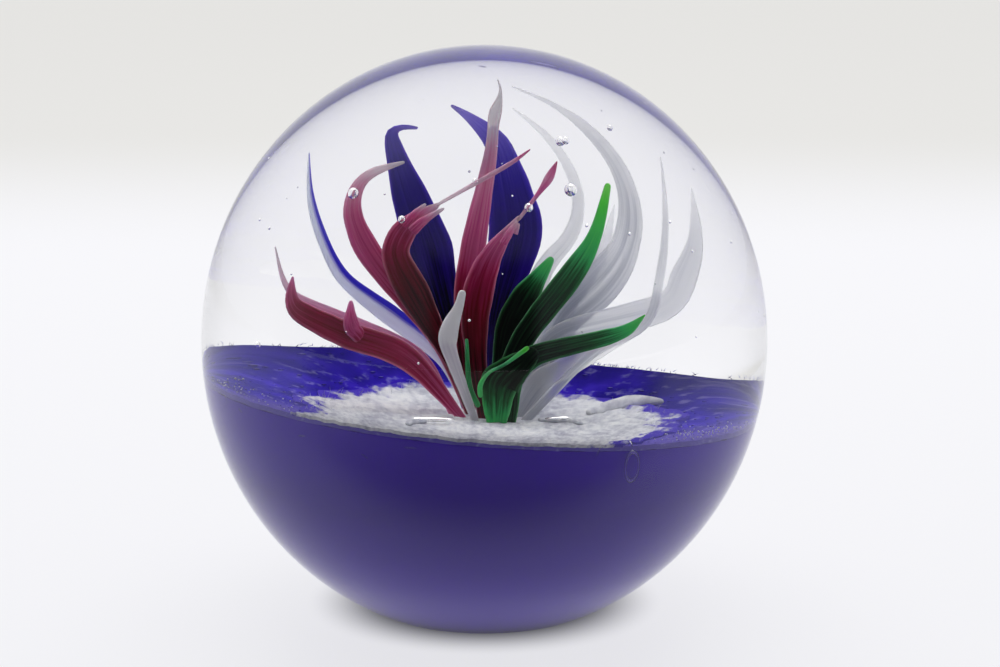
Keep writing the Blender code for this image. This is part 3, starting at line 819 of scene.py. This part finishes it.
        "glass": "opal", "faces": (0.0, -1.0, 0.0), "thin": 0.45, "cup": 0.1,
        "root": (4.2, 0.6, 0.5, 0.40), "path": [
            (6.2, 4.5, 37.5, 0.6, 0.40), (9.2, 10.5, 42.6, 0.6, 0.50), (10.1, 11.5, 44.3, 0.6, 0.60),
            (11.0, 12.0, 48.2, 0.1, 0.90)],
    },
}


def smoothPath(points, count):
    # evenly spaced stations on a Catmull-Rom curve through the points
    rows = [Vector(p) for p in points]
    rows = [2 * rows[0] - rows[1]] + rows + [2 * rows[-1] - rows[-2]]
    fine = []
    for k in range(len(points) - 1):
        a, b, c, d = rows[k:k + 4]
        for step in range(16):
            t = step / 16
            curve = 2 * b + (c - a) * t + (2 * a - 5 * b + 4 * c - d) * t * t
            fine.append((curve + (3 * b - a - 3 * c + d) * t * t * t) / 2)
    fine.append(rows[-2])
    lengths = [0.0]
    for before, after in zip(fine[:-1], fine[1:]):
        lengths.append(lengths[-1] + (Vector(after[:3]) - Vector(before[:3])).length)
    stations = []
    for i in range(count):
        wanted = lengths[-1] * i / (count - 1)
        k = max(j for j in range(len(fine)) if lengths[j] <= wanted + 1e-9)
        k = min(k, len(fine) - 2)
        share = (wanted - lengths[k]) / max(lengths[k + 1] - lengths[k], 1e-9)
        stations.append(fine[k].lerp(fine[k + 1], share))
    return stations


def stationFrames(rows, faces):
    # at each station: centre, a frame of side, front and along, the half width and the paleness
    last = len(rows) - 1
    frames = []
    for i, row in enumerate(rows):
        along = (Vector(rows[min(i + 1, last)][:3]) - Vector(rows[max(i - 1, 0)][:3])).normalized()
        side = along.cross(Vector(faces)).normalized()
        front = side.cross(along).normalized()
        turn = Matrix((side, front, along)).transposed()
        frames.append((Vector(row[:3]) * mm, turn, max(row[3], 0.1) * mm, row[4]))
    return frames


def turnRing(change, centre):
    # turns what is selected by a rotation matrix about a point; the operator counts angles the other way
    angles = change.to_euler("XYZ")
    for axis, angle in (("X", angles.x), ("Y", angles.y), ("Z", angles.z)):
        if abs(angle) > 1e-7:
            bpy.ops.transform.rotate(value=-angle, orient_axis=axis, orient_type="GLOBAL",
                                     center_override=centre)


def drawRod(rows, faces, thin, cup, stations, sides):
    # draws a ring out, station by station, as a rod of hot glass is drawn
    frames = stationFrames(smoothPath(rows, stations), faces)
    # hand drawn: the width wavers a little, differently on each rod
    rng = random.Random(int(abs(rows[0][0]) * 10) + 7 * len(rows))
    for k in range(1, len(frames) - 1):
        centre, turn, wide, tone = frames[k]
        frames[k] = (centre, turn, wide * rng.uniform(0.94, 1.07), tone)
    deselectAll()
    bpy.ops.mesh.primitive_circle_add(vertices=sides, radius=1.0, fill_type="NGON", location=(0, 0, 0))
    item = bpy.context.object
    editMode()
    centre, turn, wide, tone = frames[0]
    thick = max(wide * thin, 0.1 * mm)
    bpy.ops.transform.resize(value=(wide, thick, 1.0), center_override=(0, 0, 0))
    turnRing(turn, (0, 0, 0))
    bpy.ops.transform.translate(value=centre)
    for nextCentre, nextTurn, nextWide, tone in frames[1:]:
        nextThick = max(nextWide * thin, 0.1 * mm)
        bpy.ops.mesh.extrude_region_move(TRANSFORM_OT_translate={"value": nextCentre - centre})
        turnRing(nextTurn @ turn.transposed(), nextCentre)
        bpy.ops.transform.resize(value=(nextWide / wide, nextThick / thick, 1.0), orient_type="GLOBAL",
                                 orient_matrix=nextTurn, orient_matrix_type="GLOBAL",
                                 center_override=nextCentre)
        centre, turn, wide, thick = nextCentre, nextTurn, nextWide, nextThick
    # a rounded end
    for push, share in ((0.5, 0.75), (0.3, 0.5)):
        step = turn.col[2] * wide * push
        bpy.ops.mesh.extrude_region_move(TRANSFORM_OT_translate={"value": step})
        centre = centre + step
        bpy.ops.transform.resize(value=(share, share, share), center_override=centre)
    bpy.ops.mesh.select_all(action="SELECT")
    bpy.ops.mesh.normals_make_consistent(inside=False)
    bpy.ops.object.mode_set(mode="OBJECT")

    # where each point lies along and across, and how pale it is, for the streaks
    marks = {key: item.data.attributes.new(key, "FLOAT", "POINT") for key in ("along", "across", "tone")}
    for index, vertex in enumerate(item.data.vertices):
        k = min(index // sides, len(frames) - 1)
        centre, turn, wide, tone = frames[k]
        across = max(-1.0, min(1.0, (vertex.co - centre).dot(turn.col[0]) / wide))
        marks["along"].data[index].value = k / (len(frames) - 1)
        marks["across"].data[index].value = across
        marks["tone"].data[index].value = tone
        vertex.co += turn.col[1] * wide * cup * (across * across - 0.5)
    smooth = item.modifiers.new("smooth", "SUBSURF")
    smooth.levels = 1
    smooth.render_levels = 1
    applyAll(item)
    bpy.ops.object.shade_smooth()
    return item


def drawPetal(spec):
    x, y, halfWidth, tone = spec["root"]
    rootHeight = groundAt(x * mm, y * mm) / mm - 0.4
    rows = [(x, y, rootHeight, halfWidth, tone)] + spec["path"]
    item = drawRod(rows, spec["faces"], spec["thin"], spec["cup"], petalMesh["stations"], petalMesh["sides"])
    strands = [drawRod(strand, spec["faces"], 0.6, 0.0, petalMesh["strandStations"], petalMesh["strandSides"])
               for strand in spec.get("strands", [])]
    if strands:
        joinPieces(item, strands)
    return item


# Rod glasses. tones: the body's colour from its deep root to its pale tip; edge: the thin rim; clear: how
# much light passes through, at the root and at the tip; milk: how much of the rest scatters inside;
# absorb: the colour added by thickness; stripe: the colour of one side
rodDensity = 60.0
rods = {
    # Cranberry rod, gold ruby over clear: near black where thick, pink and then white where drawn thin
    "cranberry": {
        "name": "cranberryRodGlass", "slot": "cranberry_glass",
        "tones": [(0.0, "3C0810"), (0.15, "7C0E24"), (0.3, "AC2056"), (0.5, "DC60A0"), (0.7, "F0B0CC"),
                  (0.88, "F8E4EC"), (1.0, "FCF8FA")],
        "edge": "E890AC", "edgeShare": 0.55, "clear": (0.2, 0.38), "milk": 0.7, "rough": 0.3, "ior": 1.1,
        "absorb": "E88A9A"},
    # Cobalt rod: deep violet blue
    "cobalt": {
        "name": "cobaltRodGlass", "slot": "cobalt_petal_glass",
        "tones": [(0.0, "0C0628"), (0.15, "2A1098"), (0.4, "3A1CC4"), (0.6, "5E42D8"), (0.8, "8670F0"),
                  (1.0, "B4A8FA")],
        "edge": "5A3CE8", "edgeShare": 0.45, "clear": (0.08, 0.5), "milk": 0.5, "rough": 0.3, "ior": 1.1,
        "absorb": "8A78F0"},
    # Opal rod cased on one side with cobalt
    "edged": {
        "name": "cobaltCasedOpalRod", "slot": "cobalt_petal_glass",
        "tones": [(0.0, "C4BED8"), (0.4, "D8D6EC"), (0.7, "DCE4F8"), (1.0, "E4EEFC")],
        "edge": "F2F4FA", "edgeShare": 0.3, "clear": (0.5, 0.7), "milk": 1.0, "rough": 0.4, "ior": 1.05,
        "stripe": "2A1CC0"},
    # Emerald rod, copper and chromium green
    "green": {
        "name": "emeraldRodGlass", "slot": "green_glass",
        "tones": [(0.0, "06120A"), (0.12, "0C2412"), (0.3, "1C6634"), (0.42, "40C870"), (0.65, "54DC6C"),
                  (0.85, "4CE03C"), (1.0, "74F050")],
        "edge": "58CC70", "edgeShare": 0.5, "clear": (0.12, 0.5), "milk": 0.6, "rough": 0.3, "ior": 1.1,
        "absorb": "84E498"},
    # Opal rod: milky white, light comes through it softly
    "opal": {
        "name": "opalRodGlass", "slot": "opal_glass",
        "tones": [(0.0, "9094A0"), (0.3, "B4B8C2"), (0.55, "F4F5F8"), (1.0, "FFFFFF")],
        "edge": "F8F9FA", "edgeShare": 0.5, "clear": (0.45, 0.9), "milk": 1.0, "rough": 0.4, "ior": 1.05},
    # Opal rod left thick enough to be all but opaque
    "denseOpal": {
        "name": "denseOpalRod", "slot": "opal_glass",
        "tones": [(0.0, "CCC4D4"), (0.35, "E4DCE8"), (0.6, "FFFDFF"), (1.0, "FFFFFF")],
        "edge": "FFFFFF", "edgeShare": 0.6, "clear": (0.1, 0.1), "milk": 0.3, "rough": 0.4, "ior": 1.05},
}


def rodGlass(rod):
    # streaks run along the petal, its thin edges are paler, and its colour fades from root to tip
    material, tree, shader = startMaterial(rod["name"])
    along = addNode(tree, "ShaderNodeAttribute", {"attribute_name": "along"})
    across = addNode(tree, "ShaderNodeAttribute", {"attribute_name": "across"})
    tone = addNode(tree, "ShaderNodeAttribute", {"attribute_name": "tone"})
    # each glass reads another slice of the noise
    room = addNode(tree, "ShaderNodeCombineXYZ", {"Z": float(len(rod["name"]))},
                   {"X": across.outputs["Fac"], "Y": along.outputs["Fac"]})
    stretch = addNode(tree, "ShaderNodeMapping", {"Scale": (3.4, 1.4, 1.0)},
                      {"Vector": room.outputs["Vector"]})
    streaks = addNode(tree, "ShaderNodeTexNoise", {"Scale": 1.6, "Detail": 5.0, "Roughness": 0.62},
                      {"Vector": stretch.outputs["Vector"]})
    shift = addNode(tree, "ShaderNodeMath", {"operation": "MULTIPLY_ADD", 1: 0.6, 2: -0.30},
                    {0: streaks.outputs["Fac"]})
    paleness = addNode(tree, "ShaderNodeMath", {"operation": "ADD"},
                       {0: tone.outputs["Fac"], 1: shift.outputs["Value"]})
    colour = addRamp(tree, paleness.outputs["Value"], rod["tones"]).outputs["Color"]
    side = addNode(tree, "ShaderNodeMath", {"operation": "ABSOLUTE"}, {0: across.outputs["Fac"]})
    # the edge pales only away from the root
    grown = softStep(tree, paleness.outputs["Value"], (0.05, 0.3), 0.15, rod["edgeShare"])
    rim = softStep(tree, side.outputs["Value"], (0.72, 1.0))
    pale = addNode(tree, "ShaderNodeMath", {"operation": "MULTIPLY"}, {0: rim, 1: grown})
    colour = mixColours(tree, pale.outputs["Value"], colour, rod["edge"])
    if "stripe" in rod:
        wander = addNode(tree, "ShaderNodeMath", {"operation": "MULTIPLY_ADD", 1: 0.9},
                         {0: streaks.outputs["Fac"], 2: across.outputs["Fac"]})
        stripe = softStep(tree, wander.outputs["Value"], (0.55, 0.85))
        colour = mixColours(tree, stripe, colour, rod["stripe"])
    tree.links.new(colour, shader.inputs["Base Color"])
    passing = softStep(tree, paleness.outputs["Value"], (0.0, 1.0), *rod["clear"])
    tree.links.new(passing, shader.inputs["Transmission Weight"])
    setShader(shader, {"Roughness": rod["rough"], "IOR": rod["ior"], "Subsurface Weight": rod["milk"],
                       "Subsurface Radius": (1.0, 1.0, 1.0), "Subsurface Scale": 1.2 * mm})
    if "absorb" in rod:
        depth = addNode(tree, "ShaderNodeVolumeAbsorption",
                        {"Color": hexColour(rod["absorb"]), "Density": rodDensity})
        tree.links.new(depth.outputs["Volume"], tree.nodes["Material Output"].inputs["Volume"])
    return material


def makePetals():
    glasses = {kind: rodGlass(rod) for kind, rod in rods.items()}
    for node, spec in petals.items():
        first, *others = node.split("_")
        name = first + "".join(word.title() for word in others)
        kind = spec["glass"]
        finishPiece(drawPetal(spec), name, glasses[kind], node)


setCamera()
setStudio()
print("camera and studio set")
makeCasing()
print("casing blown")
makeCore()
makeGround()
print("core and ground laid")
makePetals()
print("petals drawn")
